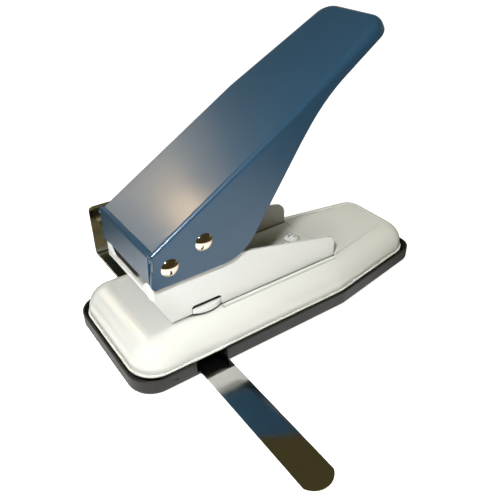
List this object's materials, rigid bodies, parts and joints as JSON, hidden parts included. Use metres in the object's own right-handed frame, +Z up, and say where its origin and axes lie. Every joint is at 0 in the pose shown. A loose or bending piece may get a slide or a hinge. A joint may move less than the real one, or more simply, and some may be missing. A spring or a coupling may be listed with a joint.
{
  "type": "calendar punch",
  "caption": "Desktop lever punch that cuts a half-moon thumb notch in calendar sheets, with a low enamelled base, an open lever and a sliding side guide.",
  "frame": {"origin": "centre of the resting face under the rubber pad, on the centre plane of the press", "axes": "+X from the paper mouth to the rear, +Z up, +Y to the side where the guide's stop tab stands"},
  "size_m": [0.192, 0.2079, 0.147],
  "materials": {
    "rubber_black": "matte",
    "tray_plastic": "satin dark grey moulding",
    "zinc_steel": "zinc plated",
    "ivory_paint": "glossy ivory enamel",
    "white_paint": "glossy white enamel",
    "tool_steel": "ground tool steel",
    "spring_steel": "bright spring steel",
    "chrome": "polished chrome plate",
    "blue_paint": "steel blue enamel with a fine orange peel",
    "nylon": "natural nylon"
  },
  "bodies": {
    "base": {"base_pad": "rubber_black", "base_tray": "tray_plastic", "tray_screws": "zinc_steel", "chassis_plate": "zinc_steel", "base_cover": "ivory_paint", "cover_post": "zinc_steel", "cover_washer": "white_paint", "cover_screw": "white_paint", "punch_bracket": "white_paint", "upper_guide_plate": "white_paint", "lower_guide_plate": "white_paint", "die_block": "tool_steel", "die_plate": "tool_steel", "die_screws": "zinc_steel", "paper_stop": "white_paint", "strap_keepers": "zinc_steel", "keeper_rivets": "zinc_steel", "strap_leaf_spring": "spring_steel", "return_spring": "spring_steel"},
    "lever": {"lever_handle": "blue_paint", "pivot_pin": "chrome", "drive_pin": "chrome", "pin_clips": "spring_steel", "pivot_washers": "nylon", "drive_spacers": "zinc_steel"},
    "punch_slide_group": {"punch": "tool_steel", "punch_crosshead": "zinc_steel", "crosshead_pin": "zinc_steel"},
    "guide": {"side_guide": "chrome"}
  },
  "joints": [
    {"name": "lever_pivot", "type": "hinge", "parent": "base", "child": "lever", "pos_m": [-0.0687, 0, 0.059], "axis": [0, 1, 0], "range_deg": [0, 24], "stiffness_Nm_per_rad": 0.5, "springref_deg": -20.05},
    {"name": "punch_stroke", "type": "slide", "parent": "base", "child": "punch_slide_group", "axis": [0, 0, -1], "range_m": [0, 0.008], "deforming": ["return_spring"]},
    {"name": "side_guide_slide", "type": "slide", "parent": "base", "child": "guide", "axis": [0, 1, 0], "range_m": [-0.043, 0.075]}
  ],
  "couplings": [
    {"joint": "punch_stroke", "follows": "lever_pivot", "m_per_rad": 0.018743}
  ]
}
